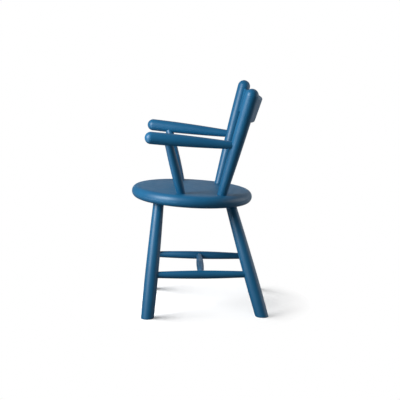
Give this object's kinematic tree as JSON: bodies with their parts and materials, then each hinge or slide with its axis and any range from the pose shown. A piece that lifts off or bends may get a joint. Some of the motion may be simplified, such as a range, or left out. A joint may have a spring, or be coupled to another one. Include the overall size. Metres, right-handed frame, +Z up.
{
  "type": "child's armchair",
  "caption": "Child's armchair in turned, painted wood with a round seat, splayed legs, stick armrests and a curved back slat.",
  "frame": {"origin": "on the floor, at the middle of the rectangle that the chair covers", "axes": "+Z up; the chair faces -Y; +X is the sitter's left"},
  "size_m": [0.3222, 0.3046, 0.5042],
  "materials": {
    "blue_paint": "smooth satin lacquer in a deep mid blue over turned beech"
  },
  "bodies": {
    "root": {"seat": "blue_paint", "leg_front_left": "blue_paint", "leg_front_right": "blue_paint", "leg_rear_left": "blue_paint", "leg_rear_right": "blue_paint", "side_stretcher_left": "blue_paint", "side_stretcher_right": "blue_paint", "cross_stretcher": "blue_paint", "back_post_left": "blue_paint", "back_post_right": "blue_paint", "back_slat": "blue_paint", "arm_left": "blue_paint", "arm_right": "blue_paint", "arm_support_left": "blue_paint", "arm_support_right": "blue_paint"}
  },
  "joints": []
}
